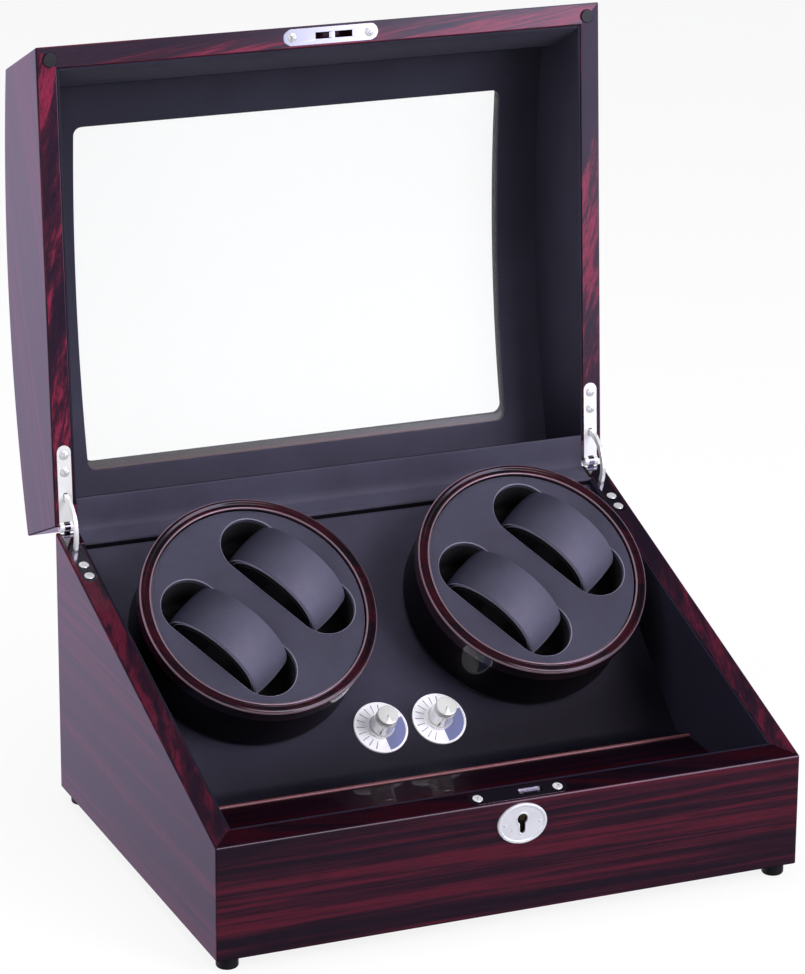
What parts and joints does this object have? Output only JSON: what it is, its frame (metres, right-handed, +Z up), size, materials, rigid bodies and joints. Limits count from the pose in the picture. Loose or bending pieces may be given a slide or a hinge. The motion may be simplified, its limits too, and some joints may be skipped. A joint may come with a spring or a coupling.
{
  "type": "watch winder box",
  "caption": "Lacquered watch winder box with a bowed glazed lid, sloped rim, tilted turntables holding watch cushions, control knobs and a keyed lock.",
  "frame": {"origin": "centre of the box's footprint, on the surface that its feet stand on", "axes": "+X to the right as seen from the front, +Y from the front to the back, +Z up"},
  "size_m": [0.29, 0.2878, 0.3723],
  "materials": {
    "lacquered_wood": "high-gloss lacquered dark striped veneer",
    "leatherette": "fine-grained matt leatherette",
    "plain_wood": "bare fibreboard and pine",
    "black_rubber": "matt moulded rubber",
    "screw_steel": "zinc-plated steel",
    "motor_case": "plated motor case",
    "dial_metal": "bright printed dial plate",
    "black_plastic": "moulded plastic",
    "board_green": "circuit board",
    "lock_brass": "stamped and plated lock parts",
    "chrome": "polished chrome plating",
    "escutcheon_metal": "bright satin plate",
    "foam": "dense black foam",
    "hub_plastic": "moulded hub",
    "clear_pane": "clear bent pane"
  },
  "bodies": {
    "base": {"base_left_side": "lacquered_wood", "base_right_side": "lacquered_wood", "base_front": "lacquered_wood", "base_back": "lacquered_wood", "base_bottom": "plain_wood", "base_linings": "leatherette", "deck_panel": "leatherette", "floor_panel": "leatherette", "front_ledge": "lacquered_wood", "support_rails": "plain_wood", "feet": "black_rubber", "inner_screws": "screw_steel", "motor_left": "motor_case", "motor_right": "motor_case", "motor_brackets": "screw_steel", "dial_plate_left": "dial_metal", "dial_plate_right": "dial_metal", "rotary_switches": "black_plastic", "control_board": "board_green", "power_inlet": "black_plastic", "lock_case": "lock_brass", "lock_rim_plate": "chrome", "escutcheon": "escutcheon_metal", "base_hinge_leaves": "chrome", "hinge_pins": "screw_steel", "rim_screws": "screw_steel", "base_flap": "leatherette"},
    "lid": {"lid_left_side": "lacquered_wood", "lid_right_side": "lacquered_wood", "lid_front": "lacquered_wood", "lid_back": "lacquered_wood", "lid_top": "lacquered_wood", "lid_linings": "leatherette", "window_liner": "leatherette", "window_pane": "clear_pane", "strike_plate": "chrome", "lid_hinge_leaves": "chrome", "lid_screws": "screw_steel", "lid_bumpers": "black_rubber"},
    "stays": {"stay_arms": "chrome"},
    "knob_left": {"knob_left": "chrome"},
    "knob_right": {"knob_right": "chrome"},
    "lock_bolt": {"lock_bolt": "lock_brass"},
    "lock_follower": {"lock_follower": "lock_brass"},
    "turntable_left": {"drum_shell_left": "lacquered_wood", "drum_bead_left": "lacquered_wood", "drum_face_left": "leatherette", "foam_core_left": "foam", "drum_hub_left": "hub_plastic", "motor_shaft_left": "screw_steel"},
    "cushion_left_upper": {"cushion_left_upper": "leatherette"},
    "cushion_left_lower": {"cushion_left_lower": "leatherette"},
    "turntable_right": {"drum_shell_right": "lacquered_wood", "drum_bead_right": "lacquered_wood", "drum_face_right": "leatherette", "foam_core_right": "foam", "drum_hub_right": "hub_plastic", "motor_shaft_right": "screw_steel"},
    "cushion_right_upper": {"cushion_right_upper": "leatherette"},
    "cushion_right_lower": {"cushion_right_lower": "leatherette"}
  },
  "joints": [
    {"name": "lid_hinge", "type": "hinge", "parent": "base", "child": "lid", "pos_m": [0, 0.1099, 0.14], "axis": [1, 0, 0], "range_deg": [0, 112.8]},
    {"name": "stay_swing", "type": "hinge", "parent": "base", "child": "stays", "pos_m": [0, 0.1099, 0.14], "axis": [1, 0, 0], "range_deg": [0, 42.9]},
    {"name": "turntable_left_spin", "type": "hinge", "parent": "base", "child": "turntable_left", "pos_m": [-0.0709, 0.05466, 0.09034], "axis": [0, -0.6756, 0.7373], "continuous": true},
    {"name": "cushion_left_upper_lift", "type": "slide", "parent": "turntable_left", "child": "cushion_left_upper", "axis": [0, 0.6756, -0.7373], "range_m": [-0.05, 0]},
    {"name": "cushion_left_lower_lift", "type": "slide", "parent": "turntable_left", "child": "cushion_left_lower", "axis": [0, 0.6756, -0.7373], "range_m": [-0.05, 0]},
    {"name": "turntable_right_spin", "type": "hinge", "parent": "base", "child": "turntable_right", "pos_m": [0.0709, 0.05466, 0.09034], "axis": [0, -0.6756, 0.7373], "continuous": true},
    {"name": "cushion_right_upper_lift", "type": "slide", "parent": "turntable_right", "child": "cushion_right_upper", "axis": [0, 0.6756, -0.7373], "range_m": [-0.05, 0]},
    {"name": "cushion_right_lower_lift", "type": "slide", "parent": "turntable_right", "child": "cushion_right_lower", "axis": [0, 0.6756, -0.7373], "range_m": [-0.05, 0]},
    {"name": "knob_left_turn", "type": "hinge", "parent": "base", "child": "knob_left", "pos_m": [-0.0152, 0.01396, 0.05305], "axis": [0, -0.6756, 0.7373], "range_deg": [-150, 150]},
    {"name": "knob_right_turn", "type": "hinge", "parent": "base", "child": "knob_right", "pos_m": [0.0152, 0.01396, 0.05305], "axis": [0, -0.6756, 0.7373], "range_deg": [-150, 150]},
    {"name": "key_turn", "type": "hinge", "parent": "base", "child": "lock_follower", "pos_m": [0.003, -0.104, 0.0522], "axis": [0, 1, 0], "range_deg": [0, 90]},
    {"name": "bolt_rise", "type": "slide", "parent": "base", "child": "lock_bolt", "axis": [0, 0, 1], "range_m": [0, 0.006]}
  ],
  "couplings": [
    {"joint": "stay_swing", "follows": "lid_hinge", "ratio": 0.38},
    {"joint": "key_turn", "follows": "bolt_rise", "rad_per_m": 261.7}
  ]
}
